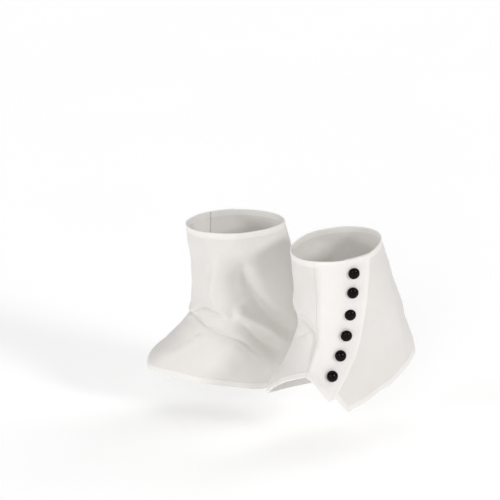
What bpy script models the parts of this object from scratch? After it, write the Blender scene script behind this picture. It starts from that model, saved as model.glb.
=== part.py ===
"""A pair of buttoned cloth spats in the form they take when worn.

Each spat is a hollow sleeve of three cut panels: a medial panel on the inner side of the foot, an outer
flap in front, and a rear panel whose front edge passes beneath the flap. Six domed buttons run down it.

Tables are in millimetres and degrees. Each foot has its own axes: forward from the back of the heel,
outward to the foot's outer side, and up from the sole. Angle 0 is the front of the leg, 90 its outer side,
-90 its inner side and 180 the back. The part's origin is the middle of the left ankle.
"""

import math

import bmesh
import bpy
import numpy as np
from mathutils import Vector

MM = 0.001

# Cloth and seams
WALL = 1.6
SEAM_GAP = 0.3
LAYER_LIFT = WALL + SEAM_GAP

# The middle of the ankle in each foot's axes, where the wearer holds the spat up
ANKLE_FORWARD = 85.0
ANKLE_HEIGHT = 130.0

# The heel is narrower than the middle of the foot: by what share, and how late the narrowing starts
HEEL_TAPER = 0.18
HEEL_TAPER_POWER = 1.5

# Buttons: the flat back and the rounded edge beside it are shares of the radius
BUTTON_DIAMETER = 13.2
BUTTON_HEIGHT = 5.2
BUTTON_SEGMENTS = 20
BUTTON_BACK_SHARE = 0.78
BUTTON_EDGE_SHARE = 0.97
BUTTON_EDGE_HEIGHT = 0.5
BUTTON_RIM_HEIGHT = 1.3
BUTTON_DOME_ANGLES = (25.0, 48.0, 70.0)

# Where a button's back is tried against the cloth: shares of its radius, and directions round it
SEAT_SHARES = (0.0, 0.5, 1.0)
SEAT_TURNS = 12

# Rows of faces from hem to top edge, and the shares of each panel's width where its columns stand
ROWS = 19
MEDIAL_COLUMNS = 25
FLAP_FRONT_COLUMNS = 5
REAR_COLUMNS = 13
UNDERLAP_SHARE = 0.55
OVERLAP_SHARES = (UNDERLAP_SHARE, 0.68, 0.78, 0.86, 0.92, 0.96, 1.0)
FLAP_SETTLES_BY = 0.08

# Step for slopes on the form, in millimetres or degrees
SLOPE_STEP = 0.5

# How finely a fold's line is followed, and the share of it at each end where the fold fades out
FOLD_SAMPLES = 60
FOLD_END_SHARE = 0.25

# Edges that turn by more than this are shaded sharp
SHARP_ANGLE = 50.0

# The pattern, the same for both spats: (share of the way up, angle)
FRONT_SEAM = [(0.0, 28.0), (0.15, 23.0), (0.35, 21.0), (1.0, 22.0)]
FLAP_EDGE = [(0.0, 56.5), (0.11, 59.5), (0.21, 62.0), (0.32, 64.5),
             (0.47, 70.0), (0.62, 76.0), (0.76, 82.0), (1.0, 92.0)]
BUTTON_ROW = [(0.157, 49.5), (0.297, 49.5), (0.446, 53.0), (0.600, 58.5), (0.760, 63.5), (0.899, 67.5)]

# Sections of the worn form, lowest first, on the outside of the cloth. Columns: height, forward place of
# the section's middle, reach to the front, reach to the back, half width, bluntness in front and behind.
LEFT_SECTIONS = [
    (50, 72, 130, 71, 48, 3.0, 2.1),
    (72, 76, 130, 72.5, 48, 2.9, 2.1),
    (90, 80, 116, 73.5, 48, 2.6, 2.1),
    (106, 85, 98, 73.5, 49, 2.3, 2.05),
    (128, 90, 79, 69.5, 51, 2.1, 2.0),
    (150, 98, 68, 69, 53, 2.0, 2.0),
    (190, 107, 61, 62, 54, 2.0, 2.0),
    (252, 120, 55, 48.5, 54, 2.0, 2.0),
]
RIGHT_SECTIONS = [
    (42, 61, 118, 65, 48, 2.9, 2.1),
    (65, 58, 116, 66, 48, 2.8, 2.1),
    (78, 58, 107.5, 66, 48, 2.65, 2.1),
    (87, 57, 98.5, 66, 48, 2.5, 2.1),
    (98, 56, 88.5, 65, 49, 2.3, 2.0),
    (114, 56, 72.5, 64, 50, 2.1, 2.0),
    (119, 56, 67.5, 65, 51, 2.05, 2.0),
    (128, 57, 63, 66, 52, 2.0, 2.0),
    (165, 60, 59, 65, 54, 2.0, 2.0),
    (252, 71, 56, 60, 54, 2.0, 2.0),
]

# Hems, (angle, height), each from the panel's front to its back
LEFT_HEMS = {
    "flap": [(28, 98), (35, 94.5), (40, 90), (45, 84.5), (49, 78.5), (52.6, 71.3), (53.5, 70.8), (54.4, 71.2),
             (56.5, 73.5)],
    "rear": [(56.5, 73.5), (62.3, 54.5), (63, 53), (64.5, 54.2), (71, 58.5), (87, 72.5), (106, 85), (121, 91.5),
             (138, 96), (180, 97)],
    "medial": [(28, 98), (24, 97), (15, 94), (4, 90), (-6, 84.5), (-15, 78), (-26, 70), (-50, 62), (-80, 58),
               (-105, 61), (-130, 72), (-155, 88), (-180, 97)],
}
RIGHT_HEMS = {
    "flap": [(28, 86), (36, 82), (43, 77), (50, 69), (52.6, 63.3), (53.5, 62.8), (54.4, 63.2), (56.5, 65.5)],
    "rear": [(56.5, 65.5), (62.3, 47.8), (63, 46.5), (64.5, 47.5), (71, 50.5), (87, 57), (106, 62), (138, 65),
             (180, 63)],
    "medial": [(28, 86), (15, 75.5), (8, 70), (-8, 65.5), (-25, 62), (-48, 60), (-61, 55), (-84, 48),
               (-114, 44.5), (-135, 47), (-160, 56), (-180, 63)],
}

# The largest folds. Columns: depth (ridges positive), width, and the (angle, height) points of its run
LEFT_FOLDS = [
    (2.0, 9, [(-45, 168), (-20, 172), (10, 170)]),
    (-2.6, 8, [(-16, 161), (4, 154), (18, 145), (21, 126)]),
    (-2.2, 9, [(-10, 150), (-50, 138), (-85, 118), (-112, 98)]),
    (2.0, 12, [(-60, 205), (-80, 160), (-105, 125)]),
    (-2.4, 14, [(-95, 225), (-118, 165), (-150, 120)]),
    (1.8, 14, [(105, 225), (112, 170), (118, 110)]),
    (-1.6, 12, [(140, 215), (138, 160), (130, 112)]),
]
RIGHT_FOLDS = [
    (1.6, 6, [(40, 132), (10, 130), (-30, 131)]),
    (-2.8, 7, [(-10, 124), (-34, 125), (-48, 119), (-76, 108), (-90, 100), (-106, 84)]),
    (1.8, 8, [(-50, 200), (-50, 160), (-63, 139), (-80, 123)]),
    (-5.2, 20, [(-88, 215), (-97, 175), (-119, 130), (-149, 103)]),
    (2.4, 9, [(-80, 140), (-90, 132), (-110, 124), (-143, 88)]),
    (-2.2, 8, [(-85, 126), (-116, 92), (-135, 82)]),
    (1.8, 12, [(-51, 108), (-44, 96), (-35, 78)]),
    (-2.2, 8, [(8, 128), (35, 126), (60, 116)]),
    (-2.2, 12, [(120, 200), (128, 150), (140, 105)]),
    (1.8, 12, [(98, 205), (104, 150), (108, 95)]),
]

# Each spat: side of the body its foot's outward axis points to, place of the ankle, heading, tables
SPATS = [
    {"name": "left", "outward": 1.0, "ankle": (0.0, 0.0), "turn": 36.0, "sections": LEFT_SECTIONS,
     "hems": LEFT_HEMS, "top_front": 230.0, "top_back": 248.0, "folds": LEFT_FOLDS},
    {"name": "right", "outward": -1.0, "ankle": (-161.2, 79.5), "turn": 1.0, "sections": RIGHT_SECTIONS,
     "hems": RIGHT_HEMS, "top_front": 235.0, "top_back": 239.0, "folds": RIGHT_FOLDS},
]


def smooth_step(x):
    """0 below 0, 1 above 1, and smooth between."""
    x = np.clip(x, 0.0, 1.0)
    return x * x * (3.0 - 2.0 * x)


def read_table(rows, x):
    """The table's other columns at x, on a smooth curve through its rows that never overshoots them."""
    table = np.array(rows, float)
    if table[0, 0] > table[-1, 0]:
        table = table[::-1]
    keys, values = table[:, 0], table[:, 1:]
    spans = np.diff(keys)
    slopes = np.diff(values, axis=0) / spans[:, None]
    tangents = np.zeros_like(values)
    tangents[0] = slopes[0]
    tangents[-1] = slopes[-1]
    for i in range(1, len(keys) - 1):
        before, after = slopes[i - 1], slopes[i]
        level = before * after <= 0.0
        total = np.where(level, 1.0, before + after)
        tangents[i] = np.where(level, 0.0, 2.0 * before * after / total)
    x = np.asarray(x, float)
    row = np.clip(np.searchsorted(keys, x) - 1, 0, len(keys) - 2)
    t = np.clip((x - keys[row]) / spans[row], 0.0, 1.0)[..., None]
    span = spans[row][..., None]
    return ((1.0 + 2.0 * t) * (1.0 - t) ** 2 * values[row]
            + t * (1.0 - t) ** 2 * span * tangents[row]
            + t * t * (3.0 - 2.0 * t) * values[row + 1]
            + t * t * (t - 1.0) * span * tangents[row + 1])


def smooth_form(spat, angle, height):
    """Points on the outside of the unfolded form, in the foot's axes."""
    columns = np.moveaxis(read_table(spat["sections"], height), -1, 0)
    middle, front, back, side, front_blunt, back_blunt = columns
    ahead = np.cos(np.radians(angle))
    aside = np.sin(np.radians(angle))
    blunt = np.where(ahead > 0.0, front_blunt, back_blunt)
    swell = (np.abs(ahead) ** blunt + np.abs(aside) ** blunt) ** (-1.0 / blunt)
    reach = np.where(ahead > 0.0, front, back)
    half_width = side * (1.0 - HEEL_TAPER * np.clip(-ahead, 0.0, 1.0) ** HEEL_TAPER_POWER)
    return np.stack([middle + swell * ahead * reach, swell * aside * half_width, height + 0.0 * angle], -1)


def directions(spat, angle, height):
    """Unit vectors round the form and out of it, at the same points."""
    step = SLOPE_STEP
    around = smooth_form(spat, angle + step, height) - smooth_form(spat, angle - step, height)
    upward = smooth_form(spat, angle, height + step) - smooth_form(spat, angle, height - step)
    outward = np.cross(around, upward)
    around = around / np.linalg.norm(around, axis=-1, keepdims=True)
    return around, outward / np.linalg.norm(outward, axis=-1, keepdims=True)


def fold_height(spat, points):
    """How far the folds push the cloth out, or in where negative, at each of the form's points."""
    total = np.zeros(points.shape[:-1])
    for depth, width, route in spat["folds"]:
        route = np.array(route, float)
        run = np.linspace(0.0, len(route) - 1.0, FOLD_SAMPLES)
        stops = np.arange(len(route))
        crest = smooth_form(spat, np.interp(run, stops, route[:, 0]), np.interp(run, stops, route[:, 1]))
        gaps = np.linalg.norm(points[..., None, :] - crest, axis=-1)
        share = gaps.argmin(-1) / (FOLD_SAMPLES - 1.0)
        ends = smooth_step(share / FOLD_END_SHARE) * smooth_step((1.0 - share) / FOLD_END_SHARE)
        total += depth * ends * np.exp(-(gaps.min(-1) / width) ** 2)
    return total


def top_height(spat, angle):
    """Height of the top edge, which slopes with the leg."""
    mean = (spat["top_front"] + spat["top_back"]) / 2.0
    slope = (spat["top_front"] - spat["top_back"]) / 2.0
    return mean + slope * np.cos(np.radians(angle))


def column_places(spat, front_angle, back_angle, shares, hem):
    """Angles and heights of a panel's grid: a column for each share of its width, a row a step up."""
    rise = np.linspace(0.0, 1.0, ROWS)
    shares = np.array(shares)[:, None]
    angle = front_angle(rise) * (1.0 - shares) + back_angle(rise) * shares
    low = read_table(hem, angle[:, 0])[..., 0][:, None]
    return angle, low + (top_height(spat, angle) - low) * rise


def front_seam(rise):
    return read_table(FRONT_SEAM, rise)[..., 0]


def flap_edge(rise):
    return read_table(FLAP_EDGE, rise)[..., 0]


def back_seam(side):
    """The centre-back seam's angle, reached from the outer side (1) or the inner side (-1)."""
    return lambda rise: side * 180.0 + 0.0 * rise


def wall_points(spat, angle, height, lift, seam_shift):
    """Outer and inner points of a panel, whose first and last columns are drawn back from their seams."""
    form = smooth_form(spat, angle, height)
    around, outward = directions(spat, angle, height)
    shift = np.zeros(angle.shape)
    shift[0] = seam_shift[0]
    shift[-1] = seam_shift[1]
    raised = (fold_height(spat, form) + lift)[..., None]
    outer = form + around * shift[..., None] + outward * raised
    return outer, outer - outward * WALL


def flap_shares():
    """Shares of the flap's width: evenly spaced up to the overlap, then the overlap's own columns."""
    front = [UNDERLAP_SHARE * i / FLAP_FRONT_COLUMNS for i in range(FLAP_FRONT_COLUMNS)]
    return front + list(OVERLAP_SHARES)


def flap_places(spat):
    return column_places(spat, front_seam, flap_edge, flap_shares(), spat["hems"]["flap"])


def flap_lift():
    """The flap's lift off the form: none at the front seam, one layer where it lies on the rear panel."""
    past = np.array(flap_shares()) - FLAP_SETTLES_BY
    return LAYER_LIFT * smooth_step(past / (UNDERLAP_SHARE - FLAP_SETTLES_BY))[:, None]


def rear_places(spat):
    """The rear panel's grid: the flap's own overlap columns, then from the hem's tip to the back seam."""
    tip_angle = spat["hems"]["rear"][1][0]
    tip_share = (tip_angle - FLAP_EDGE[0][1]) / (180.0 - FLAP_EDGE[0][1])
    shares = [tip_share + (1.0 - tip_share) * i / (REAR_COLUMNS - 1) for i in range(REAR_COLUMNS)]
    under_angle, under_height = flap_places(spat)
    angle, height = column_places(spat, flap_edge, back_seam(1.0), shares, spat["hems"]["rear"])
    all_angles = np.vstack([under_angle[FLAP_FRONT_COLUMNS:], angle])
    return all_angles, np.vstack([under_height[FLAP_FRONT_COLUMNS:], height])


def medial_places(spat):
    shares = np.linspace(0.0, 1.0, MEDIAL_COLUMNS)
    return column_places(spat, front_seam, back_seam(-1.0), shares, spat["hems"]["medial"])


def to_local(spat, points):
    """From the foot's axes in millimetres to the spat's own frame in metres, centred on the ankle."""
    moved = points - np.array([ANKLE_FORWARD, 0.0, ANKLE_HEIGHT])
    return moved * np.array([1.0, spat["outward"], 1.0]) * MM


def wall_mesh(name, outer, inner):
    """One closed wall from its outer and inner grids of points."""
    columns, rows = outer.shape[:2]
    build = bmesh.new()
    skins = []
    for grid in (outer, inner):
        skins.append([[build.verts.new(point) for point in column] for column in grid])
    for skin in skins:
        for i in range(columns - 1):
            for j in range(rows - 1):
                build.faces.new((skin[i][j], skin[i + 1][j], skin[i + 1][j + 1], skin[i][j + 1]))
    along_hem = [(i, 0) for i in range(columns)]
    up_back = [(columns - 1, j) for j in range(1, rows)]
    along_top = [(i, rows - 1) for i in range(columns - 2, -1, -1)]
    down_front = [(0, j) for j in range(rows - 2, 0, -1)]
    rim = along_hem + up_back + along_top + down_front
    for (i, j), (k, m) in zip(rim, rim[1:] + rim[:1]):
        build.faces.new((skins[0][i][j], skins[0][k][m], skins[1][k][m], skins[1][i][j]))
    bmesh.ops.recalc_face_normals(build, faces=build.faces)
    mesh = bpy.data.meshes.new(name)
    build.to_mesh(mesh)
    build.free()
    mesh.shade_smooth()
    mesh.set_sharp_from_angle(angle=math.radians(SHARP_ANGLE))
    return mesh


def button_mesh():
    """A domed button standing on its flat back at z = 0."""
    radius = BUTTON_DIAMETER / 2.0
    dome_height = BUTTON_HEIGHT - BUTTON_RIM_HEIGHT
    profile = [(0.0, 0.0), (BUTTON_BACK_SHARE * radius, 0.0)]
    profile += [(BUTTON_EDGE_SHARE * radius, BUTTON_EDGE_HEIGHT), (radius, BUTTON_RIM_HEIGHT)]
    for lean in np.radians(BUTTON_DOME_ANGLES):
        profile.append((radius * math.cos(lean), BUTTON_RIM_HEIGHT + dome_height * math.sin(lean)))
    profile.append((0.0, BUTTON_HEIGHT))
    build = bmesh.new()
    points = [build.verts.new((x * MM, 0.0, z * MM)) for x, z in profile]
    edges = [build.edges.new(pair) for pair in zip(points, points[1:])]
    bmesh.ops.spin(build, geom=points + edges, cent=(0, 0, 0), axis=(0, 0, 1), angle=math.tau,
                   steps=BUTTON_SEGMENTS, use_merge=True)
    bmesh.ops.remove_doubles(build, verts=build.verts, dist=1e-6)
    bmesh.ops.recalc_face_normals(build, faces=build.faces)
    mesh = bpy.data.meshes.new("button")
    build.to_mesh(mesh)
    build.free()
    mesh.shade_smooth()
    mesh.set_sharp_from_angle(angle=math.radians(SHARP_ANGLE))
    return mesh


def button_seat(spat, rise, angle):
    """Place and direction of one button on the flap's highest spot there, in the spat's own frame."""
    low = spat["hems"]["flap"][-1][1]
    angle = np.array(angle)
    height = low + (top_height(spat, angle) - low) * rise
    form = smooth_form(spat, angle, height)
    around, outward = directions(spat, angle, height)
    up = np.cross(outward, around)
    touch = -np.inf
    for step in range(SEAT_TURNS):
        turn = math.tau * step / SEAT_TURNS
        for share in SEAT_SHARES:
            reach = share * BUTTON_DIAMETER / 2.0
            near = form + reach * (math.cos(turn) * around + math.sin(turn) * up)
            turned_by = reach * math.cos(turn) / arc_per_degree(spat, angle, height)
            cloth = smooth_form(spat, angle + turned_by, near[2])
            cloth = cloth + outward * fold_height(spat, cloth)
            touch = max(touch, float(np.dot(cloth - form, outward)))
    seat = form + outward * (touch + LAYER_LIFT + SEAM_GAP)
    return Vector(to_local(spat, seat)), Vector(outward * np.array([1.0, spat["outward"], 1.0]))


def arc_per_degree(spat, angle, height):
    """Length round the form of one degree, in millimetres."""
    half = SLOPE_STEP
    run = smooth_form(spat, angle + half, height) - smooth_form(spat, angle - half, height)
    return float(np.linalg.norm(run)) / (2.0 * half)


def finish_material(name, colour, roughness):
    material = bpy.data.materials.new(name)
    material.use_nodes = True
    shader = material.node_tree.nodes["Principled BSDF"]
    shader.inputs["Base Color"].default_value = (*colour, 1.0)
    shader.inputs["Roughness"].default_value = roughness
    shader.inputs["Metallic"].default_value = 0.0
    return material


def add_object(name, mesh, parent, material):
    piece = bpy.data.objects.new(name, mesh)
    bpy.context.scene.collection.objects.link(piece)
    piece.parent = parent
    if not mesh.materials:
        mesh.materials.append(material)
    return piece


def add_panel(spat, name, places, lift, seam_shift, parent, cloth):
    outer, inner = wall_points(spat, *places, lift, seam_shift)
    full_name = spat["name"] + "_" + name
    mesh = wall_mesh(full_name, to_local(spat, outer), to_local(spat, inner))
    return add_object(full_name, mesh, parent, cloth)


def build_spat(spat, cloth, gloss, button):
    """One spat on an empty at the middle of its ankle, turned to its foot's heading."""
    ankle = bpy.data.objects.new(spat["name"] + "_ankle", None)
    bpy.context.scene.collection.objects.link(ankle)
    ankle.location = (spat["ankle"][0] * MM, spat["ankle"][1] * MM, 0.0)
    ankle.rotation_euler = (0.0, 0.0, math.radians(180.0 + spat["turn"]))
    half_gap = SEAM_GAP / 2.0
    add_panel(spat, "medial_panel", medial_places(spat), 0.0, (-half_gap, half_gap), ankle, cloth)
    add_panel(spat, "rear_panel", rear_places(spat), 0.0, (0.0, -half_gap), ankle, cloth)
    add_panel(spat, "flap", flap_places(spat), flap_lift(), (half_gap, 0.0), ankle, cloth)
    for number, (rise, angle) in enumerate(BUTTON_ROW, start=1):
        seat, outward = button_seat(spat, rise, angle)
        piece = add_object(f"{spat['name']}_button_{number}", button, ankle, gloss)
        piece.location = seat
        piece.rotation_mode = "QUATERNION"
        piece.rotation_quaternion = outward.to_track_quat("Z", "Y")


def main():
    for old in list(bpy.data.objects):
        bpy.data.objects.remove(old)
    cloth = finish_material("white_cloth", (0.86, 0.84, 0.82), 0.7)
    gloss = finish_material("black_button", (0.012, 0.012, 0.014), 0.12)
    button = button_mesh()
    for spat in SPATS:
        build_spat(spat, cloth, gloss, button)


if __name__ == "__main__":
    main()
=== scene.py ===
"""The looks of a pair of buttoned cloth spats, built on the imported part.

Tables are in millimetres and degrees, in each foot's own axes: forward from the back of the heel, outward
to the foot's outer side, and up from the sole. Angle 0 is the front of the leg, 90 its outer side, -90 its
inner side and 180 the back. Everything that is placed in the scene is in metres in the part's frame.
"""

import math

import bpy
import numpy as np
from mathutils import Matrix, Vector


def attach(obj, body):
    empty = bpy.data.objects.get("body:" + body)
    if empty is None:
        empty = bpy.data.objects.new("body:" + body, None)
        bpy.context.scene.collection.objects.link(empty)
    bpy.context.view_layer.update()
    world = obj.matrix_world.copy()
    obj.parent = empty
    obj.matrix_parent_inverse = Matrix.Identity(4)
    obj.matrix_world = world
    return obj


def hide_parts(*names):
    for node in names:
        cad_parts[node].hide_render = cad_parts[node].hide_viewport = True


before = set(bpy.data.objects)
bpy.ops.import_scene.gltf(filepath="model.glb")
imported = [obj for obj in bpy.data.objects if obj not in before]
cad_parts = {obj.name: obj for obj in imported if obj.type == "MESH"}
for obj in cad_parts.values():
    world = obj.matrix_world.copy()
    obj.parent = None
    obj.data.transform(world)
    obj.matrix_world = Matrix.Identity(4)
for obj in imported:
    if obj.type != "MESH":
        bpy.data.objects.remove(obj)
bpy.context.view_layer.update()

MM = 0.001

# Cloth: its wall, the gap beneath the flap, and at seams the panels' reach past them and their rounding
WALL = 1.6
UNDER_GAP = 0.3
LAYER_LIFT = WALL + UNDER_GAP
SEAM_OVERLAP = 0.03
SEAM_ROLL = 0.3

# The heel is narrower than the middle of the foot: by what share, and how late the narrowing starts
HEEL_TAPER = 0.18
HEEL_TAPER_POWER = 1.5

# The middle of the ankle in each foot's axes
ANKLE_FORWARD = 85.0
ANKLE_HEIGHT = 130.0

# Turned hems: width of the band, how far it stands proud and eases off, and the row of stitching along it
HEM_WIDTH = 7.0
HEM_RISE = 0.3
HEM_STEP = 1.5
STITCH_LINE = 5.8
STITCH_PITCH = 3.0
GROOVE_DEPTH = 0.35
GROOVE_WIDTH = 0.7

# A stitch and its stations. Columns: share of its length, then girth and rise as shares of its radius
STITCH_LENGTH = 2.1
STITCH_RADIUS = 0.24
STITCH_SIDES = 6
STITCH_STATIONS = (
    (0.0, 0.25, -0.6),
    (0.18, 0.85, 0.0),
    (0.5, 1.0, 0.2),
    (0.82, 0.85, 0.0),
    (1.0, 0.25, -0.6),
)

# Buttons. The rim's columns are share of the radius and height, and the dome rises above it
BUTTONS_A_SPAT = 6
BUTTON_DIAMETER = 13.2
BUTTON_HEIGHT = 5.2
BUTTON_SEGMENTS = 48
BUTTON_RIM = ((0.74, 0.0), (0.9, 0.18), (0.975, 0.5), (1.0, 0.95), (0.995, 1.3))
BUTTON_DOME_SHARE = 0.985
BUTTON_DOME_ANGLES = (12.0, 84.0)
BUTTON_DOME_RINGS = 10

# Colours: the darker and the lighter tone of each material
CLOTH_TONES = ((0.870, 0.843, 0.812), (0.915, 0.895, 0.868))
THREAD_TONES = ((0.74, 0.72, 0.70), (0.84, 0.82, 0.80))
BUTTON_TONES = ((0.0022, 0.0017, 0.0014), (0.0060, 0.0045, 0.0036))
FLOOR_TONES = ((0.94, 0.94, 0.94), (0.96, 0.96, 0.96))

# How much of its colour the cloth keeps where it is single, double and triple. This is partly the whiter
# look of doubled cloth and partly painted light: a painted highlight along the turned hems and the flap's
# edge, and painted shade on the single cloth beside them
SINGLE_CLOTH_TONE_AND_SHADE = (0.87, 0.865, 0.86)
DOUBLE_CLOTH_TONE_AND_HIGHLIGHT = (0.97, 0.97, 0.97)
TRIPLE_CLOTH_TONE_AND_HIGHLIGHT = (1.0, 1.0, 1.0)

# Weave: its wave scale, how far its yarns are drawn out along and across the cloth, both over lengths in
# millimetres, how much they tint it, and each bump's strength and height in metres
WEAVE_SCALE = 0.62
LENGTHWISE_YARN = (1.6, 0.10)
CROSSWISE_YARN = (0.12, 1.5)
YARN_TINT = 0.07
WEAVE_BUMP = (0.3, 0.00008)
YARN_BUMP = (0.25, 0.00012)

# Grid of the shells. Columns and rows stand close together along hemmed edges, at the edge steps from them,
# which the typical sizes turn into shares. The rim angles give the rings that round the edges over
MEDIAL_COLUMNS = 224
FLAP_COLUMNS = 46
REAR_COLUMNS = 120
UNDERLAP_COLUMNS = 13
TIP_COLUMNS = 8
ROWS = 132
EDGE_STEPS = (0.0, 1.5, 2.8, 4.1, 4.9, 5.4, 5.8, 6.2, 6.8, 7.6, 9.2)
TYPICAL_HEIGHT = 155.0
TYPICAL_FLAP_WIDTH = 56.0
RIM_ANGLES = (36.0, 72.0, 108.0, 144.0)

# Shares of the flap's width: where the underlap starts, up to where the flap stays on the form, and by where
# it counts as double
UNDERLAP_SHARE = 0.55
FLAP_SETTLES_BY = 0.08
FLAP_DOUBLED_BY = 0.16

# Sections are eased over this reach up and down, by (step, weight) pairs
EASE_REACH = 6.0
EASE_WEIGHTS = ((-1.0, 0.25), (0.0, 0.5), (1.0, 0.25))

# Step for slopes on the form, in millimetres or degrees
SLOPE_STEP = 0.5

# Folds: how finely a run is followed, and the share of it at each end where the fold fades out
SAMPLES_A_POINT = 8
FOLD_END_SHARE = 0.22

# Unevenness of the cloth. Columns: wavelength and height, and each row gives several waves
RIPPLES = ((85.0, 0.35), (60.0, 0.28), (44.0, 0.2), (31.0, 0.13), (22.0, 0.08), (15.0, 0.05))
WAVES_A_RIPPLE = 3
RIPPLE_SEED = 7

# The photograph's view: the point looked at, the camera's distance and its height above the horizon
VIEW_TARGET = Vector((-0.1262, 0.188, 0.040))
VIEW_DISTANCE = 3.0
VIEW_ELEVATION = math.radians(16.3)
FOCAL_PIXELS = 2461.0
IMAGE_PIXELS = 500.0
SENSOR_MM = 36.0
CLIP_RANGE = (0.1, 100.0)

# The floor, at height 0 of the tables
FLOOR_HEIGHT = -ANKLE_HEIGHT * MM
FLOOR_SIZE = 40.0

# Studio light: strength of the even white surroundings and of the floor's own glow, and the lamps. Columns:
# name, azimuth and elevation in degrees as the camera sees them, strength, and softness in degrees
SURROUNDINGS = 0.22
FLOOR_GLOW = 0.3
LAMP_DISTANCE = 4.0
LAMPS = [
    ("left", -78.0, 8.0, 1.14, 14.0),
    ("front", -8.0, 20.0, 0.68, 20.0),
    ("right", 45.0, 20.0, 1.05, 12.0),
    ("side", 120.0, 40.0, 0.55, 40.0),
    ("back", 180.0, 60.0, 0.2, 60.0),
    ("top", -30.0, 78.0, 0.36, 50.0),
]

# The pattern, the same for both spats: (share of the way up, angle)
FRONT_SEAM = [(0.0, 28.0), (0.15, 23.0), (0.35, 21.0), (1.0, 22.0)]
FLAP_EDGE = [(0.0, 56.5), (0.11, 59.5), (0.21, 62.0), (0.32, 64.5), (0.47, 70.0), (0.62, 76.0), (0.76, 82.0),
             (1.0, 92.0)]

# Sections of the worn form: height, forward place of the section's middle, reach to the front, reach to the
# back, half width, bluntness in front and behind
LEFT_SECTIONS = [
    (50, 72, 130, 71, 48, 3.0, 2.1),
    (72, 76, 130, 72.5, 48, 2.9, 2.1),
    (90, 80, 116, 73.5, 48, 2.6, 2.1),
    (106, 85, 98, 73.5, 49, 2.3, 2.05),
    (128, 90, 79, 69.5, 51, 2.1, 2.0),
    (150, 98, 68, 69, 53, 2.0, 2.0),
    (190, 107, 61, 62, 54, 2.0, 2.0),
    (252, 120, 55, 48.5, 54, 2.0, 2.0),
]
RIGHT_SECTIONS = [
    (42, 61, 118, 65, 48, 2.9, 2.1),
    (65, 58, 116, 66, 48, 2.8, 2.1),
    (78, 58, 107.5, 66, 48, 2.65, 2.1),
    (87, 57, 98.5, 66, 48, 2.5, 2.1),
    (98, 56, 88.5, 65, 49, 2.3, 2.0),
    (114, 56, 72.5, 64, 50, 2.1, 2.0),
    (119, 56, 67.5, 65, 51, 2.05, 2.0),
    (128, 57, 63, 66, 52, 2.0, 2.0),
    (165, 60, 59, 65, 54, 2.0, 2.0),
    (252, 71, 56, 60, 54, 2.0, 2.0),
]

# Hems, (angle, height), each from the panel's front to its back
LEFT_HEMS = {
    "flap": [(28, 98), (35, 94.5), (40, 90), (45, 84.5), (49, 78.5), (52.6, 71.3), (53.5, 70.8),
             (54.4, 71.2), (56.5, 73.5)],
    "rear": [(56.5, 73.5), (62.3, 54.5), (63, 53), (64.5, 54.2), (71, 58.5), (87, 72.5), (106, 85),
             (121, 91.5), (138, 96), (180, 97)],
    "medial": [(28, 98), (24, 97), (15, 94), (4, 90), (-6, 84.5), (-15, 78), (-26, 70), (-50, 62), (-80, 58),
               (-105, 61), (-130, 72), (-155, 88), (-180, 97)],
}
RIGHT_HEMS = {
    "flap": [(28, 86), (36, 82), (43, 77), (50, 69), (52.6, 63.3), (53.5, 62.8), (54.4, 63.2), (56.5, 65.5)],
    "rear": [(56.5, 65.5), (62.3, 47.8), (63, 46.5), (64.5, 47.5), (71, 50.5), (87, 57), (106, 62),
             (138, 65), (180, 63)],
    "medial": [(28, 86), (15, 75.5), (8, 70), (-8, 65.5), (-25, 62), (-48, 60), (-61, 55), (-84, 48),
               (-114, 44.5), (-135, 47), (-160, 56), (-180, 63)],
}

# Folds and creases. Columns: depth (ridges positive), width to the left of the run and to its right, with
# angles drawn to the right and heights up, sharpness (2 is a soft roll, 1 a crisp line), and the run itself
# as (angle, height) points. The folds follow the solids' own, and the creases are added to them.
SOFT, FIRM, CRISP = 2.0, 1.5, 1.15
LEFT_FOLDS = [
    (2.0, 9, 9, SOFT, [(-45, 168), (-20, 172), (10, 170)]),
    (-2.6, 8, 8, SOFT, [(-16, 161), (4, 154), (18, 145), (21, 126)]),
    (-2.2, 9, 9, SOFT, [(-10, 150), (-50, 138), (-85, 118), (-112, 98)]),
    (2.0, 12, 12, SOFT, [(-60, 205), (-80, 160), (-105, 125)]),
    (-2.4, 14, 14, SOFT, [(-95, 225), (-118, 165), (-150, 120)]),
    (1.8, 14, 14, SOFT, [(105, 225), (112, 170), (118, 110)]),
    (-1.6, 12, 12, SOFT, [(140, 215), (138, 160), (130, 112)]),
]
LEFT_CREASES = [
    (-2.2, 1.8, 7, FIRM, [(-40, 158), (-18, 160), (-5, 158), (6, 155), (12, 149), (17, 143), (19, 135),
                          (20, 126), (22, 114), (24, 104)]),
    (1.5, 6, 3, SOFT, [(-8, 168), (10, 162), (18, 154), (22, 144), (23, 132), (25, 116), (28, 104)]),
    (-1.1, 1.5, 3, CRISP, [(-14, 133), (-7, 136), (3, 142), (11, 146), (19, 146)]),
    (-0.9, 2.0, 4, FIRM, [(-30, 154), (-20, 151), (-9, 146), (-1, 141), (6, 133)]),
    (0.8, 3.0, 3.0, SOFT, [(-24, 154), (-8, 152), (4, 149), (12, 143)]),
    (-0.9, 2.0, 3.5, CRISP, [(-20, 156), (-46, 146), (-72, 132), (-92, 118)]),
    (0.9, 3.0, 5, SOFT, [(-30, 146), (-56, 134), (-80, 120), (-98, 106)]),
    (-0.8, 4, 9, SOFT, [(101, 205), (92, 165), (84, 132), (80, 108)]),
    (0.7, 9, 9, SOFT, [(124, 205), (116, 165), (104, 120)]),
    (-0.7, 2.5, 5, FIRM, [(150, 152), (166, 132), (178, 120)]),
    (0.9, 5, 5, SOFT, [(156, 168), (172, 146), (180, 138)]),
    (-0.9, 2.5, 6, FIRM, [(-120, 152), (-146, 128), (-170, 116)]),
    (0.9, 6, 4, SOFT, [(-112, 170), (-140, 144), (-168, 130)]),
]
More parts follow.
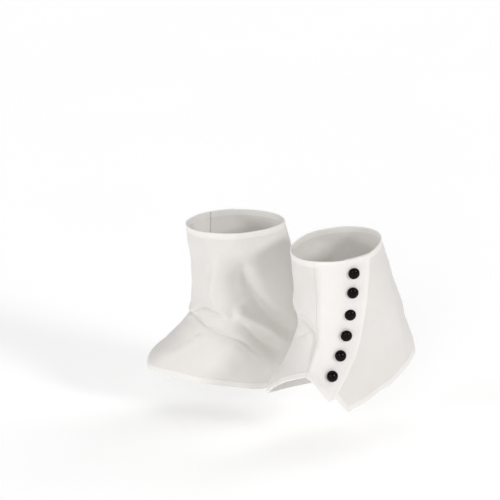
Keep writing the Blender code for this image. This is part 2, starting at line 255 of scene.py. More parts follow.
RIGHT_FOLDS = [
    (1.6, 6, 6, SOFT, [(40, 132), (10, 130), (-30, 131)]),
    (-2.8, 7, 7, SOFT, [(-10, 124), (-34, 125), (-48, 119), (-76, 108), (-90, 100), (-106, 84)]),
    (1.8, 8, 8, SOFT, [(-50, 200), (-50, 160), (-63, 139), (-80, 123)]),
    (-7.5, 36, 14, SOFT, [(-88, 215), (-97, 175), (-119, 130), (-149, 103)]),
    (2.4, 9, 9, SOFT, [(-80, 140), (-90, 132), (-110, 124), (-143, 88)]),
    (-2.2, 8, 8, SOFT, [(-85, 126), (-116, 92), (-135, 82)]),
    (1.8, 12, 12, SOFT, [(-51, 108), (-44, 96), (-35, 78)]),
    (-2.2, 8, 8, SOFT, [(8, 128), (35, 126), (60, 116)]),
    (-2.2, 12, 12, SOFT, [(120, 200), (128, 150), (140, 105)]),
    (1.8, 12, 12, SOFT, [(98, 205), (104, 150), (108, 95)]),
]
RIGHT_CREASES = [
    (3.8, 3.0, 26.0, FIRM, [(-61, 218), (-58, 192), (-55, 176), (-53, 165), (-54, 156), (-57, 149),
                            (-64, 143), (-71, 137), (-83, 127)]),
    (-1.8, 1.5, 2.4, CRISP, [(-6, 127), (-15, 131), (-26, 136), (-36, 141), (-46, 142), (-54, 140),
                             (-62, 137), (-70, 131)]),
    (1.3, 2.0, 2.4, FIRM, [(-36, 137), (-44, 138), (-53, 136), (-61, 133), (-71, 127)]),
    (-2.6, 2.2, 2.8, FIRM, [(22, 121), (5, 124), (-8, 128), (-16, 129), (-25, 128), (-35, 125), (-46, 120)]),
    (-2.0, 1.3, 2.0, CRISP, [(-20, 128), (-34, 124), (-45, 120), (-57, 116), (-66, 112), (-74, 109),
                             (-82, 106), (-88, 102), (-98, 95)]),
    (1.9, 2.0, 4.0, FIRM, [(-28, 127), (-37, 125), (-46, 123), (-55, 121), (-62, 119), (-73, 114)]),
    (0.9, 2.0, 2.0, FIRM, [(-80, 106), (-85, 102), (-92, 94), (-99, 88), (-107, 81)]),
    (1.0, 5, 5, SOFT, [(-45, 110), (-49, 107), (-53, 104)]),
    (0.8, 4, 4, SOFT, [(-54, 109), (-49, 101), (-45, 94), (-42, 87), (-36, 77)]),
    (-3.4, 14, 14, SOFT, [(-78, 212), (-80, 190), (-81, 172), (-83, 158), (-87, 146)]),
    (-3.0, 8, 9, SOFT, [(-88, 212), (-94, 190), (-99, 172), (-104, 159), (-110, 147), (-118, 135),
                        (-130, 123), (-142, 112), (-156, 99)]),
    (6.0, 22, 16, SOFT, [(-144, 205), (-145, 172), (-148, 149), (-154, 127), (-162, 108)]),
    (4.2, 6, 5, FIRM, [(-76, 142), (-84, 140), (-93, 136), (-104, 127), (-116, 117), (-129, 105),
                       (-143, 92)]),
    (-2.6, 7, 3.5, FIRM, [(-82, 131), (-88, 124), (-96, 114), (-105, 104), (-116, 96), (-128, 89),
                          (-142, 83)]),
    (-1.2, 1.8, 3.0, CRISP, [(60, 116), (44, 124), (22, 127), (2, 126)]),
    (0.9, 3.0, 5.0, FIRM, [(80, 112), (58, 128), (34, 136), (12, 134)]),
    (-0.9, 2.5, 4.5, FIRM, [(104, 160), (120, 132), (142, 108), (165, 92)]),
    (1.0, 5, 5, SOFT, [(110, 146), (126, 118), (150, 94), (172, 82)]),
]

SPATS = [
    {"name": "left", "outward": 1.0, "ankle": (0.0, 0.0), "turn": 36.0, "sections": LEFT_SECTIONS,
     "hems": LEFT_HEMS, "top_front": 230.0, "top_back": 248.0, "folds": LEFT_FOLDS + LEFT_CREASES},
    {"name": "right", "outward": -1.0, "ankle": (-161.2, 79.5), "turn": 1.0, "sections": RIGHT_SECTIONS,
     "hems": RIGHT_HEMS, "top_front": 235.0, "top_back": 239.0, "folds": RIGHT_FOLDS + RIGHT_CREASES},
]


def smooth_step(x):
    """0 below 0, 1 above 1, and smooth between."""
    x = np.clip(x, 0.0, 1.0)
    return x * x * (3.0 - 2.0 * x)


def read_table(rows, x):
    """The table's other columns at x, on a smooth curve through its rows that never overshoots them."""
    table = np.array(rows, float)
    if table[0, 0] > table[-1, 0]:
        table = table[::-1]
    keys, values = table[:, 0], table[:, 1:]
    spans = np.diff(keys)
    slopes = np.diff(values, axis=0) / spans[:, None]
    tangents = np.zeros_like(values)
    tangents[0] = slopes[0]
    tangents[-1] = slopes[-1]
    for i in range(1, len(keys) - 1):
        before, after = slopes[i - 1], slopes[i]
        level = before * after <= 0.0
        total = np.where(level, 1.0, before + after)
        tangents[i] = np.where(level, 0.0, 2.0 * before * after / total)
    x = np.asarray(x, float)
    row = np.clip(np.searchsorted(keys, x) - 1, 0, len(keys) - 2)
    t = np.clip((x - keys[row]) / spans[row], 0.0, 1.0)[..., None]
    span = spans[row][..., None]
    return ((1.0 + 2.0 * t) * (1.0 - t) ** 2 * values[row]
            + t * (1.0 - t) ** 2 * span * tangents[row]
            + t * t * (3.0 - 2.0 * t) * values[row + 1]
            + t * t * (t - 1.0) * span * tangents[row + 1])


def section_at(spat, height):
    """The section's sizes at a height, eased over a few millimetres so that no row of the table shows."""
    rows = spat["sections"]
    return sum(weight * read_table(rows, height + EASE_REACH * step) for step, weight in EASE_WEIGHTS)


def smooth_form(spat, angle, height):
    """Points on the outside of the unfolded form, in the foot's axes."""
    middle, front, back, side, front_blunt, back_blunt = np.moveaxis(section_at(spat, height), -1, 0)
    ahead = np.cos(np.radians(angle))
    aside = np.sin(np.radians(angle))
    blunt = np.where(ahead > 0.0, front_blunt, back_blunt)
    swell = (np.abs(ahead) ** blunt + np.abs(aside) ** blunt) ** (-1.0 / blunt)
    reach = np.where(ahead > 0.0, front, back)
    half_width = side * (1.0 - HEEL_TAPER * np.clip(-ahead, 0.0, 1.0) ** HEEL_TAPER_POWER)
    return np.stack([middle + swell * ahead * reach, swell * aside * half_width, height + 0.0 * angle], -1)


def directions(spat, angle, height):
    """Unit vectors round the form and out of it, at the same points."""
    around = smooth_form(spat, angle + SLOPE_STEP, height) - smooth_form(spat, angle - SLOPE_STEP, height)
    upward = smooth_form(spat, angle, height + SLOPE_STEP) - smooth_form(spat, angle, height - SLOPE_STEP)
    outward = np.cross(around, upward)
    return around / length_of(around), outward / length_of(outward)


def length_of(vectors):
    return np.linalg.norm(vectors, axis=-1, keepdims=True)


def route_curve(points, samples):
    """A smooth curve through a few points, at even steps of its parameter."""
    points = np.array(points, float)
    padded = np.vstack([2 * points[0] - points[1], points, 2 * points[-1] - points[-2]])
    run = np.linspace(0.0, len(points) - 1.0, samples)
    i = np.clip(run.astype(int), 0, len(points) - 2)
    t = (run - i)[:, None]
    p0, p1, p2, p3 = (padded[i + k] for k in range(4))
    return 0.5 * (2 * p1 + (p2 - p0) * t + (2 * p0 - 5 * p1 + 4 * p2 - p3) * t ** 2
                  + (3 * p1 - p0 - 3 * p2 + p3) * t ** 3)


def follow_route(spat, route, points):
    """Each point's distance to the run, its share of the way along, and whether it lies on the left."""
    run = route_curve(route, SAMPLES_A_POINT * len(route))
    crest = smooth_form(spat, run[:, 0], run[:, 1])
    facing = directions(spat, run[:, 0], run[:, 1])[1]
    nearest = np.full(points.shape[:-1], np.inf)
    share = np.zeros(nearest.shape)
    left = np.zeros(nearest.shape, bool)
    for k in range(len(crest) - 1):
        along = crest[k + 1] - crest[k]
        offset = points - crest[k]
        t = np.clip((offset @ along) / (along @ along), 0.0, 1.0)
        offset = offset - t[..., None] * along
        gap = np.linalg.norm(offset, axis=-1)
        nearer = gap < nearest
        nearest = np.where(nearer, gap, nearest)
        share = np.where(nearer, (k + t) / (len(crest) - 1.0), share)
        left = np.where(nearer, offset @ np.cross(facing[k], along) > 0.0, left)
    return nearest, share, left


def fold_height(spat, points):
    """How far the folds push the cloth out, or in where negative, at each of the form's points."""
    total = np.zeros(points.shape[:-1])
    for depth, left_width, right_width, sharpness, route in spat["folds"]:
        gap, share, left = follow_route(spat, route, points)
        width = np.where(left, left_width, right_width)
        ends = smooth_step(share / FOLD_END_SHARE) * smooth_step((1.0 - share) / FOLD_END_SHARE)
        total += depth * ends * np.exp(-(gap / width) ** sharpness)
    return total


def ripple(points):
    """Slight unevenness of cloth: a sum of long waves in seeded directions."""
    rng = np.random.default_rng(RIPPLE_SEED)
    total = np.zeros(points.shape[:-1])
    for wavelength, height in RIPPLES:
        for _ in range(WAVES_A_RIPPLE):
            direction = rng.normal(size=3)
            direction = direction / np.linalg.norm(direction)
            total += height * np.sin(points @ direction * math.tau / wavelength + rng.uniform(0.0, math.tau))
    return total


def top_height(spat, angle):
    """Height of the top edge, which slopes with the leg."""
    mean = (spat["top_front"] + spat["top_back"]) / 2.0
    slope = (spat["top_front"] - spat["top_back"]) / 2.0
    return mean + slope * np.cos(np.radians(angle))


def row_shares():
    """Shares of the way up: close together along both hems, even between."""
    low = np.array(EDGE_STEPS) / TYPICAL_HEIGHT
    even = np.linspace(low[-1], 1.0 - low[-1], ROWS)[1:-1]
    return np.concatenate([low, even, 1.0 - low[::-1]])


def column_places(spat, front_angle, back_angle, shares, hem):
    """Angles and heights of a panel's grid."""
    rise = row_shares()
    shares = np.array(shares)[:, None]
    angle = front_angle(rise) * (1.0 - shares) + back_angle(rise) * shares
    low = read_table(hem, angle[:, 0])[..., 0][:, None]
    return angle, low + (top_height(spat, angle) - low) * rise


def front_seam(rise):
    return read_table(FRONT_SEAM, rise)[..., 0]


def flap_edge(rise):
    return read_table(FLAP_EDGE, rise)[..., 0]


def underlap_edge(rise):
    return front_seam(rise) * (1.0 - UNDERLAP_SHARE) + flap_edge(rise) * UNDERLAP_SHARE


def back_seam(side):
    """The centre-back seam's angle, reached from the outer side (1) or the inner side (-1)."""
    return lambda rise: side * 180.0 + 0.0 * rise


def to_part(spat, points):
    """From the foot's axes in millimetres to the part's frame in metres."""
    local = (points - np.array([ANKLE_FORWARD, 0.0, ANKLE_HEIGHT])) * np.array([1.0, spat["outward"], 1.0])
    heading = math.radians(180.0 + spat["turn"])
    forward = np.array([math.cos(heading), math.sin(heading), 0.0])
    leftward = np.array([-math.sin(heading), math.cos(heading), 0.0])
    upward = np.array([0.0, 0.0, 1.0])
    turned = local[..., :1] * forward + local[..., 1:2] * leftward + local[..., 2:] * upward
    return (turned + np.array([*spat["ankle"], 0.0])) * MM


def run_length(grid, axis):
    """Distance along the grid from its first column or row, in the grid's unit."""
    steps = np.linalg.norm(np.diff(grid, axis=axis), axis=-1)
    start = np.zeros_like(np.take(steps, [0], axis=axis))
    return np.concatenate([start, np.cumsum(steps, axis=axis)], axis=axis)


def hem_relief(distance):
    """A turned hem's band and the groove that its stitching pulls in."""
    band = HEM_RISE * (1.0 - smooth_step((distance - HEM_WIDTH) / HEM_STEP))
    return band - GROOVE_DEPTH * np.exp(-((distance - STITCH_LINE) / GROOVE_WIDTH) ** 2)


def edge_relief(up, across, hemmed_back):
    """Relief of a panel's hems, from the lengths up it and across it. Grooves cut through bands."""
    low, high = hem_relief(up), hem_relief(up[:, -1:] - up)
    lower = np.minimum(low, high)
    relief = np.where(lower < 0.0, lower, np.maximum(low, high))
    if hemmed_back:
        edge = hem_relief(across[-1:] - across)
        relief = np.where(edge < 0.0, edge, np.maximum(relief, edge))
    return relief


def count_layers(up, across, layers, hemmed_back):
    """Layers of cloth that lie on each other: one more than the panel's own along its turned hems."""
    nearest = np.minimum(up, up[:, -1:] - up)
    if hemmed_back:
        nearest = np.minimum(nearest, across[-1:] - across)
    return layers + 1.0 - smooth_step((nearest - HEM_WIDTH) / HEM_STEP + 0.5)


def line_at(measure, wanted, *grids):
    """A line through each of the grids, at the wanted value of the measure in each of their columns."""
    wanted = np.broadcast_to(wanted, measure.shape[:1])
    lines = []
    for grid in grids:
        line = []
        for value, run, column in zip(wanted, measure, grid):
            line.append([np.interp(value, run, column[:, k]) for k in range(3)])
        lines.append(np.array(line))
    return lines


class Panel:
    """One panel's grids of points, in the foot's axes."""

    def __init__(self, spat, places, lift, seams, layers=1.0, hemmed_back=False, bare_columns=0):
        angle, height = places
        form = smooth_form(spat, angle, height)
        around, self.normal = directions(spat, angle, height)
        shift = np.zeros(angle.shape)
        shift[0] = seams[0]
        shift[-1] = seams[1]
        raised = fold_height(spat, form) + ripple(form) + lift
        smooth = form + around * shift[..., None] + self.normal * raised[..., None]
        self.up = run_length(smooth, 1)
        self.across = run_length(smooth, 0)
        relief = edge_relief(self.up, self.across, hemmed_back)
        relief[:bare_columns] = 0.0
        self.layers = count_layers(self.up, self.across, layers, hemmed_back)
        self.sewn = (seams[0] != 0.0, seams[1] != 0.0)
        self.outer = smooth + self.normal * relief[..., None]
        self.inner = smooth - self.normal * WALL

    def line_from_hem(self, distance):
        """Points and normals of a line that keeps its distance from the lower hem."""
        return line_at(self.up, distance, self.outer, self.normal)

    def line_from_top(self, distance):
        """The same below the top edge."""
        return line_at(self.up, self.up[:, -1] - distance, self.outer, self.normal)

    def line_from_back(self, distance):
        """The same along the panel's last column."""
        across, outer, normal = (grid.swapaxes(0, 1) for grid in (self.across, self.outer, self.normal))
        return line_at(across, across[:, -1] - distance, outer, normal)


def rim_path(columns, rows):
    """Grid places round the panel's edge, in order."""
    along_hem = [(i, 0) for i in range(columns)]
    up_back = [(columns - 1, j) for j in range(1, rows)]
    along_top = [(i, rows - 1) for i in range(columns - 2, -1, -1)]
    down_front = [(0, j) for j in range(rows - 2, 0, -1)]
    return along_hem + up_back + along_top + down_front


def edge_direction(grid, i, j):
    """Unit vector in the cloth that points out over the panel's edge at one of its edge points."""
    columns, rows = grid.shape[:2]
    total = np.zeros(3)
    if i in (0, columns - 1):
        out = grid[i, j] - grid[1 if i == 0 else i - 1, j]
        total += out / np.linalg.norm(out)
    if j in (0, rows - 1):
        out = grid[i, j] - grid[i, 1 if j == 0 else j - 1]
        total += out / np.linalg.norm(out)
    return total / np.linalg.norm(total)


def rounded_rim(panel, path):
    """The panel's grids with their edges drawn in, and the rings of points that round the edge over."""
    outer, inner = panel.outer.copy(), panel.inner.copy()
    columns, rows = outer.shape[:2]
    rings = [[] for _ in RIM_ANGLES]
    for i, j in path:
        out = edge_direction(panel.outer, i, j)
        half = (panel.outer[i, j] - panel.inner[i, j]) / 2.0
        sewn = (i == 0 and panel.sewn[0]) or (i == columns - 1 and panel.sewn[1])
        roll = SEAM_ROLL if sewn and 0 < j < rows - 1 else np.linalg.norm(half)
        core = (panel.outer[i, j] + panel.inner[i, j]) / 2.0 - out * roll
        outer[i, j] = core + half
        inner[i, j] = core - half
        for ring, lean in zip(rings, np.radians(RIM_ANGLES)):
            ring.append(core + half * math.cos(lean) + out * roll * math.sin(lean))
    return outer, inner, rings


def shell_faces(columns, rows, path):
    """Faces of the outer and inner grids, and of the bands that round the edge between them."""
    count = columns * rows
    faces = []
    for i in range(columns - 1):
        for j in range(rows - 1):
            a, b = i * rows + j, (i + 1) * rows + j
            faces.append((a, b, b + 1, a + 1))
            faces.append((count + a, count + a + 1, count + b + 1, count + b))
    edge = [i * rows + j for i, j in path]
    bands = [edge]
    for k in range(len(RIM_ANGLES)):
        start = 2 * count + k * len(path)
        bands.append(list(range(start, start + len(path))))
    bands.append([count + place for place in edge])
    for high, low in zip(bands, bands[1:]):
        for k in range(len(path)):
            m = (k + 1) % len(path)
            faces.append((high[k], low[k], low[m], high[m]))
    return faces


def shell_mesh(name, spat, panel):
    """The panel's wall as one closed mesh with rounded edges. Its UV map is in millimetres of cloth."""
    columns, rows = panel.outer.shape[:2]
    path = rim_path(columns, rows)
    outer, inner, rings = rounded_rim(panel, path)
    points = np.vstack([outer.reshape(-1, 3), inner.reshape(-1, 3), *[np.array(ring) for ring in rings]])
    faces = shell_faces(columns, rows, path)
    if spat["outward"] < 0.0:
        faces = [face[::-1] for face in faces]
    mesh = bpy.data.meshes.new(name)
    mesh.from_pydata(to_part(spat, points).tolist(), [], faces)
    mesh.shade_smooth()

    # The layer count sets the cloth's painted highlight on hems and flap and its painted shade on single
    # cloth, together with the whiter look of doubled cloth
    rim_layers = [panel.layers[i, j] for i, j in path]
    layers = np.concatenate([panel.layers.ravel(), panel.layers.ravel()] + [rim_layers] * len(rings))
    mesh.attributes.new("layers", "FLOAT", "POINT").data.foreach_set("value", layers)

    flat = np.stack([panel.across, panel.up], -1)
    rim_flat = np.array([flat[i, j] for i, j in path])
    uv_points = np.vstack([flat.reshape(-1, 2), flat.reshape(-1, 2)] + [rim_flat] * len(rings))
    corners = np.array([uv_points[loop.vertex_index] for loop in mesh.loops])
    mesh.uv_layers.new(name="cloth").data.foreach_set("uv", corners.ravel())
    mesh.update()
    return mesh


def stitch_row(spat, line, batch):
    """Adds a row of stitches along a line on the cloth to a batch of points and faces."""
    points = to_part(spat, line[0])
    normals = to_part(spat, line[0] + line[1]) - points
    run = np.concatenate([[0.0], np.cumsum(np.linalg.norm(np.diff(points, axis=0), axis=1))])
    pitch, half = STITCH_PITCH * MM, STITCH_LENGTH * MM / 2.0
    for number in range(1, int(run[-1] / pitch)):
        middle = number * pitch
        start = np.array([np.interp(middle - half, run, points[:, k]) for k in range(3)])
        end = np.array([np.interp(middle + half, run, points[:, k]) for k in range(3)])
        up = np.array([np.interp(middle, run, normals[:, k]) for k in range(3)])
        add_stitch(batch, start, end - start, up / np.linalg.norm(up))


def add_stitch(batch, start, along, up):
    """One stitch: a short bead of thread, thin at its ends."""
    points, faces = batch
    first = len(points)
    radius = STITCH_RADIUS * MM
    side = np.cross(up, along)
    side = side / np.linalg.norm(side)
    for share, girth, rise in STITCH_STATIONS:
        centre = start + along * share + up * radius * rise
        for k in range(STITCH_SIDES):
            turn = math.tau * k / STITCH_SIDES
            points.append(centre + (side * math.cos(turn) + up * math.sin(turn)) * radius * girth)
    last = len(points) - STITCH_SIDES
    for low in range(first, last, STITCH_SIDES):
        high = low + STITCH_SIDES
        for k in range(STITCH_SIDES):
            m = (k + 1) % STITCH_SIDES
            faces.append((low + k, low + m, high + m, high + k))
    faces.append(tuple(first + k for k in reversed(range(STITCH_SIDES))))
    faces.append(tuple(last + k for k in range(STITCH_SIDES)))


def button_profile():
    """The button's section from the middle of its back to the top of its dome: (radius, height)."""
    radius = BUTTON_DIAMETER / 2.0
    rim_height = BUTTON_RIM[-1][1]
    dome_height = BUTTON_HEIGHT - rim_height
    profile = [(0.0, 0.0)] + [(share * radius, height) for share, height in BUTTON_RIM]
    for lean in np.radians(np.linspace(*BUTTON_DOME_ANGLES, BUTTON_DOME_RINGS)):
        reach = BUTTON_DOME_SHARE * radius * math.cos(lean)
        profile.append((reach, rim_height + dome_height * math.sin(lean)))
    return profile + [(0.0, BUTTON_HEIGHT)]


def button_mesh():
    """A domed button with a slim rolled rim, standing on its flat back at z = 0."""
    profile = button_profile()
    segments = BUTTON_SEGMENTS
    points = [(0.0, 0.0, 0.0)]
    for x, z in profile[1:-1]:
        for k in range(segments):
            turn = math.tau * k / segments
            points.append((x * math.cos(turn) * MM, x * math.sin(turn) * MM, z * MM))
    points.append((0.0, 0.0, BUTTON_HEIGHT * MM))
    rings = len(profile) - 2
    top_ring = 1 + (rings - 1) * segments
    faces = []
    for k in range(segments):
        m = (k + 1) % segments
        faces.append((0, 1 + m, 1 + k))
        faces.append((top_ring + k, top_ring + m, len(points) - 1))
        for low in range(1, top_ring, segments):
            high = low + segments
            faces.append((low + k, low + m, high + m, high + k))
    mesh = bpy.data.meshes.new("button_dome")
    mesh.from_pydata(points, [], faces)
    mesh.shade_smooth()
    mesh.update()
    return mesh


def new_material(name):
    material = bpy.data.materials.new(name)
    material.use_nodes = True
    tree = material.node_tree
    return material, tree, tree.nodes["Principled BSDF"]


def add_node(tree, kind, place, **inputs):
    """A node with its inputs set. An input's name has an underscore for each space."""
    node = tree.nodes.new(kind)
    node.location = place
    for name, value in inputs.items():
        node.inputs[name.replace("_", " ")].default_value = value
    return node


def tone_ramp(tree, place, source, *stops):
    """Colours over a value, from (position, colour) stops in rising order."""
    ramp = add_node(tree, "ShaderNodeValToRGB", place)
    elements = ramp.color_ramp.elements
    for element, (position, colour) in zip((elements[0], elements[-1]), (stops[0], stops[-1])):
        element.position = position
        element.color = (*colour, 1.0)
    for position, colour in stops[1:-1]:
        elements.new(position).color = (*colour, 1.0)
    tree.links.new(source, ramp.inputs["Fac"])
    return ramp.outputs["Color"]


def map_value(tree, place, source, **limits):
    """A value carried over from one range to another."""
    node = add_node(tree, "ShaderNodeMapRange", place, **limits)
    tree.links.new(source, node.inputs["Value"])
    return node.outputs["Result"]


def yarn_noise(tree, stretch, source, row):
    """Outputs of a noise that is drawn out along one direction of the cloth, for its uneven yarns."""
    mapping = add_node(tree, "ShaderNodeMapping", (-1200, row))
    mapping.inputs["Scale"].default_value = (*stretch, 1.0)
    noise = add_node(tree, "ShaderNodeTexNoise", (-1000, row), Scale=1.0, Detail=2.0, Roughness=0.6)
    tree.links.new(source, mapping.inputs["Vector"])
    tree.links.new(mapping.outputs["Vector"], noise.inputs["Vector"])
    return noise.outputs


def mix_colours(tree, place, blend, share, first, second):
    mix = tree.nodes.new("ShaderNodeMix")
    mix.location = place
    mix.data_type = "RGBA"
    mix.blend_type = blend
    mix.inputs["Factor"].default_value = share
    tree.links.new(first, mix.inputs["A"])
    tree.links.new(second, mix.inputs["B"])
    return mix.outputs["Result"]


def add_bump(tree, place, height, strength, distance, normal=None):
    bump = add_node(tree, "ShaderNodeBump", place, Strength=strength, Distance=distance)
    tree.links.new(height, bump.inputs["Height"])
    if normal:
        tree.links.new(normal, bump.inputs["Normal"])
    return bump.outputs["Normal"]


def plain_weave(tree, flat):
    """Height of a plain weave: a wave for the warp times a wave for the weft."""
    weave = add_node(tree, "ShaderNodeMath", (-780, -350))
    weave.operation = "MULTIPLY"
    for number, (bands, row) in enumerate((("X", -200), ("Y", -500))):
        wave = add_node(tree, "ShaderNodeTexWave", (-1000, row),
                        Scale=WEAVE_SCALE, Distortion=0.6, Detail=1.0)
        wave.bands_direction = bands
        tree.links.new(flat, wave.inputs["Vector"])
        tree.links.new(wave.outputs["Fac"], weave.inputs[number])
    return weave.outputs["Value"]


def layer_whiteness_and_highlight(tree):
    """How white the cloth looks for the number of layers that lie on each other. This is partly the whiter
    look of doubled cloth and partly painted light: a painted highlight along the hems and the flap, and
    painted shade on the single cloth beside them.
    """
    layers = add_node(tree, "ShaderNodeAttribute", (-1200, 500))
    layers.attribute_name = "layers"
    share = map_value(tree, (-1000, 500), layers.outputs["Fac"], From_Min=1.0, From_Max=3.0)
    return tone_ramp(tree, (-760, 500), share, (0.0, SINGLE_CLOTH_TONE_AND_SHADE), (0.5, DOUBLE_CLOTH_TONE_AND_HIGHLIGHT), (1.0, TRIPLE_CLOTH_TONE_AND_HIGHLIGHT))


def cloth_material():
    """Warm white cloth with a fine plain weave, uneven yarns, faint clouding and a soft sheen."""
    material, tree, shader = new_material("white_cloth")
    link = tree.links.new
    shader.inputs["Sheen Weight"].default_value = 0.2
    shader.inputs["Sheen Roughness"].default_value = 0.45
    shader.inputs["Specular IOR Level"].default_value = 0.3
    uv_map = add_node(tree, "ShaderNodeUVMap", (-1400, 0))
    uv_map.uv_map = "cloth"
    flat = uv_map.outputs["UV"]
    lengthwise = yarn_noise(tree, LENGTHWISE_YARN, flat, -800)
    crosswise = yarn_noise(tree, CROSSWISE_YARN, flat, -1100)
    normal = add_bump(tree, (-560, -400), plain_weave(tree, flat), *WEAVE_BUMP)
    normal = add_bump(tree, (-400, -400), lengthwise["Fac"], *YARN_BUMP, normal)
    normal = add_bump(tree, (-240, -400), crosswise["Fac"], *YARN_BUMP, normal)
    link(normal, shader.inputs["Normal"])

    solid = add_node(tree, "ShaderNodeTexCoord", (-1400, 300))
    cloud = add_node(tree, "ShaderNodeTexNoise", (-1000, 200), Scale=16.0, Detail=5.0, Roughness=0.6)
    link(solid.outputs["Object"], cloud.inputs["Vector"])
    dark, light = CLOTH_TONES
    tone = tone_ramp(tree, (-760, 200), cloud.outputs["Fac"], (0.3, dark), (0.7, light))
    # Painted light: the cloth is lighter where it lies double or triple, a painted highlight along the hems
    # and the flap's edge with painted shade on the single cloth, as well as the whiter look of doubled cloth
    tone = mix_colours(tree, (-600, 350), "MULTIPLY", 1.0, tone, layer_whiteness_and_highlight(tree))
    tone = mix_colours(tree, (-460, 200), "MULTIPLY", YARN_TINT, tone, lengthwise["Color"])
    tone = mix_colours(tree, (-300, 200), "MULTIPLY", YARN_TINT, tone, crosswise["Color"])
    link(tone, shader.inputs["Base Color"])
    matt = map_value(tree, (-460, -100), crosswise["Fac"], To_Min=0.52, To_Max=0.7)
    link(matt, shader.inputs["Roughness"])
    return material


def thread_material():
    """Sewing thread, smoother than the cloth, with its twist."""
    material, tree, shader = new_material("white_thread")
    shader.inputs["Sheen Weight"].default_value = 0.2
    shader.inputs["Roughness"].default_value = 0.5
    solid = add_node(tree, "ShaderNodeTexCoord", (-800, 0))
    twist = add_node(tree, "ShaderNodeTexWave", (-600, 0), Scale=900.0, Distortion=0.5)
    tree.links.new(solid.outputs["Object"], twist.inputs["Vector"])
    dark, light = THREAD_TONES
    tone = tone_ramp(tree, (-400, 0), twist.outputs["Fac"], (0.0, dark), (1.0, light))
    tree.links.new(tone, shader.inputs["Base Color"])
    return material


def button_material():
    """Polished black plastic with a faint haze of handling."""
    material, tree, shader = new_material("black_button")
    shader.inputs["Specular IOR Level"].default_value = 0.1
    solid = add_node(tree, "ShaderNodeTexCoord", (-900, 0))
    haze = add_node(tree, "ShaderNodeTexNoise", (-700, 0), Scale=260.0, Detail=4.0, Roughness=0.6)
    tree.links.new(solid.outputs["Object"], haze.inputs["Vector"])
    polish = map_value(tree, (-450, -150), haze.outputs["Fac"], To_Min=0.1, To_Max=0.2)
    tree.links.new(polish, shader.inputs["Roughness"])
    dark, light = BUTTON_TONES
    tone = tone_ramp(tree, (-450, 150), haze.outputs["Fac"], (0.0, dark), (1.0, light))
    tree.links.new(tone, shader.inputs["Base Color"])
    return material


def floor_material():
    """Plain pale studio floor."""
    material, tree, shader = new_material("pale_floor")
    shader.inputs["Roughness"].default_value = 0.9
    shader.inputs["Emission Color"].default_value = (1.0, 1.0, 1.0, 1.0)
    shader.inputs["Emission Strength"].default_value = FLOOR_GLOW
    solid = add_node(tree, "ShaderNodeTexCoord", (-800, 0))
    grain = add_node(tree, "ShaderNodeTexNoise", (-600, 0), Scale=3.0, Detail=2.0)
    tree.links.new(solid.outputs["Object"], grain.inputs["Vector"])
    dark, light = FLOOR_TONES
    tone = tone_ramp(tree, (-400, 0), grain.outputs["Fac"], (0.0, dark), (1.0, light))
    tree.links.new(tone, shader.inputs["Base Color"])
    return material


def add_piece(name, mesh, material):
    piece = bpy.data.objects.new(name, mesh)
    bpy.context.scene.collection.objects.link(piece)
    if not mesh.materials:
        mesh.materials.append(material)
    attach(piece, "root")
    return piece


def add_panel(spat, kind, panel, rows_of_stitches, materials):
    """A panel's shell and its stitching."""
    node = f"{spat['name']}_{kind}"
    shell = add_piece(f"{node}_cloth", shell_mesh(f"{node}_cloth", spat, panel), materials["cloth"])
    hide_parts(node)
    batch = ([], [])
    for line in rows_of_stitches:
        stitch_row(spat, line, batch)
    mesh = bpy.data.meshes.new(f"{node}_stitches")
    mesh.from_pydata([tuple(point) for point in batch[0]], [], batch[1])
    mesh.shade_smooth()
    stitches = add_piece(f"{node}_stitches", mesh, materials["thread"])
    return shell


def button_seat(spat, node):
    """Middle of a button's flat back and the way it faces, read from its solid."""
    points = np.unique(np.round([v.co for v in node.data.vertices], 6), axis=0)
    middle = points.mean(0)
    facing = np.linalg.eigh(np.cov((points - middle).T))[1][:, 0]
    ankle = to_part(spat, np.array([ANKLE_FORWARD, 0.0, ANKLE_HEIGHT]))
    if facing @ (middle - ankle) < 0.0:
        facing = -facing
    return middle + facing * ((points - middle) @ facing).min(), facing


def add_buttons(spat, dome, materials):
    """Domes in the places of the solids' buttons."""
    pieces = []
    for number in range(1, BUTTONS_A_SPAT + 1):
        name = f"{spat['name']}_button_{number}"
        seat, facing = button_seat(spat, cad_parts[name])
        piece = add_piece(f"{name}_dome", dome, materials["button"])
        piece.location = Vector(seat)
        piece.rotation_mode = "QUATERNION"
        piece.rotation_quaternion = Vector(facing).to_track_quat("Z", "Y")
        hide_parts(name)
        pieces.append(piece)
    return pieces


def medial_panel(spat):
    shares = np.linspace(0.0, 1.0, MEDIAL_COLUMNS)
    places = column_places(spat, front_seam, back_seam(-1.0), shares, spat["hems"]["medial"])
    return Panel(spat, places, 0.0, (SEAM_OVERLAP, -SEAM_OVERLAP))


def flap_panel(spat):
    """The flap, which rises by one layer where it lies on the rear panel."""
    edge_shares = np.array(EDGE_STEPS) / TYPICAL_FLAP_WIDTH
    front_shares = np.linspace(0.0, 1.0 - edge_shares[-1], FLAP_COLUMNS)[:-1]
    shares = np.concatenate([front_shares, 1.0 - edge_shares[::-1]])
    places = column_places(spat, front_seam, flap_edge, shares, spat["hems"]["flap"])
    lift = LAYER_LIFT * smooth_step((shares - FLAP_SETTLES_BY) / (UNDERLAP_SHARE - FLAP_SETTLES_BY))[:, None]
    doubled = 1.0 + smooth_step(shares / FLAP_DOUBLED_BY)[:, None]
    return Panel(spat, places, lift, (-SEAM_OVERLAP, 0.0), layers=doubled, hemmed_back=True)


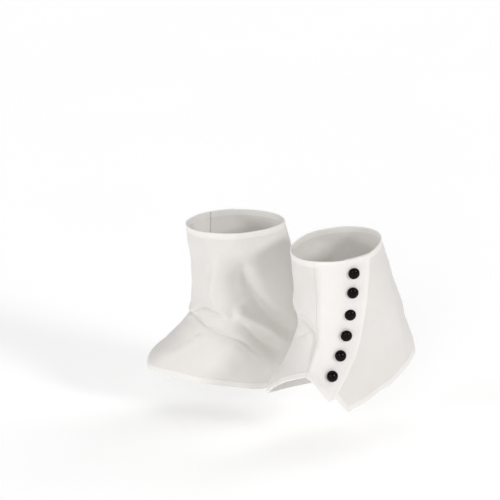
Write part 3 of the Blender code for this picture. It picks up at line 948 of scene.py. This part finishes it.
def rear_panel(spat):
    """The rear panel: its plain underlap beneath the flap, then from the flap's edge to the back seam."""
    under_shares = np.linspace(0.0, 1.0, UNDERLAP_COLUMNS + 1)[:-1]
    under = column_places(spat, underlap_edge, flap_edge, under_shares, spat["hems"]["flap"])
    corner, tip = spat["hems"]["rear"][0][0], spat["hems"]["rear"][1][0]
    tip_share = (tip - corner) / (180.0 - corner)
    tip_shares = np.linspace(0.0, tip_share, TIP_COLUMNS + 1)[:-1]
    shares = np.concatenate([tip_shares, np.linspace(tip_share, 1.0, REAR_COLUMNS)])
    shown = column_places(spat, flap_edge, back_seam(1.0), shares, spat["hems"]["rear"])
    places = [np.vstack(pair) for pair in zip(under, shown)]
    return Panel(spat, places, 0.0, (0.0, SEAM_OVERLAP), bare_columns=UNDERLAP_COLUMNS + 1)


def build_spat(spat, dome, materials):
    medial, flap, rear = medial_panel(spat), flap_panel(spat), rear_panel(spat)
    buttons = add_buttons(spat, dome, materials)
    medial_rows = [medial.line_from_hem(STITCH_LINE), medial.line_from_top(STITCH_LINE)]
    add_panel(spat, "medial_panel", medial, medial_rows, materials)
    bare = UNDERLAP_COLUMNS + 1
    rear_rows = []
    for points, normals in (rear.line_from_hem(STITCH_LINE), rear.line_from_top(STITCH_LINE)):
        rear_rows.append((points[bare:], normals[bare:]))
    rear_shell = add_panel(spat, "rear_panel", rear, rear_rows, materials)
    flap_rows = [
        flap.line_from_hem(STITCH_LINE),
        flap.line_from_top(STITCH_LINE),
        flap.line_from_back(STITCH_LINE),
    ]
    add_panel(spat, "flap", flap, flap_rows, materials)


def add_camera():
    data = bpy.data.cameras.new("camera")
    data.sensor_width = SENSOR_MM
    data.lens = FOCAL_PIXELS / IMAGE_PIXELS * SENSOR_MM
    data.clip_start, data.clip_end = CLIP_RANGE
    camera = bpy.data.objects.new("camera", data)
    bpy.context.scene.collection.objects.link(camera)
    back = Vector((0.0, -math.cos(VIEW_ELEVATION), math.sin(VIEW_ELEVATION)))
    camera.location = VIEW_TARGET + back * VIEW_DISTANCE
    camera.rotation_mode = "QUATERNION"
    camera.rotation_quaternion = (-back).to_track_quat("-Z", "Y")
    bpy.context.scene.camera = camera


def add_sun(name, azimuth, elevation, strength, softness):
    """A soft distant lamp. Azimuth is 0 behind the camera and grows to its right; angles are in degrees."""
    data = bpy.data.lights.new(name, "SUN")
    data.energy = strength
    data.angle = math.radians(softness)
    light = bpy.data.objects.new(name, data)
    bpy.context.scene.collection.objects.link(light)
    turn, rise = math.radians(azimuth), math.radians(elevation)
    towards = Vector((math.sin(turn) * math.cos(rise), -math.cos(turn) * math.cos(rise), math.sin(rise)))
    light.location = towards * LAMP_DISTANCE
    light.rotation_mode = "QUATERNION"
    light.rotation_quaternion = (-towards).to_track_quat("-Z", "Y")


def add_studio():
    """Pale floor, even white surroundings and soft lamps."""
    half = FLOOR_SIZE / 2.0
    corners = [(x, y, FLOOR_HEIGHT) for x, y in ((-half, -half), (half, -half), (half, half), (-half, half))]
    mesh = bpy.data.meshes.new("floor")
    mesh.from_pydata(corners, [], [(0, 1, 2, 3)])
    floor = bpy.data.objects.new("floor", mesh)
    bpy.context.scene.collection.objects.link(floor)
    mesh.materials.append(floor_material())
    world = bpy.data.worlds.new("studio")
    world.use_nodes = True
    background = world.node_tree.nodes["Background"]
    background.inputs["Color"].default_value = (1.0, 1.0, 1.0, 1.0)
    background.inputs["Strength"].default_value = SURROUNDINGS
    bpy.context.scene.world = world
    for lamp in LAMPS:
        add_sun(*lamp)
    bpy.context.scene.view_settings.view_transform = "Standard"


def main():
    add_camera()
    add_studio()
    materials = {"cloth": cloth_material(), "thread": thread_material(), "button": button_material()}
    dome = button_mesh()
    for spat in SPATS:
        build_spat(spat, dome, materials)


main()
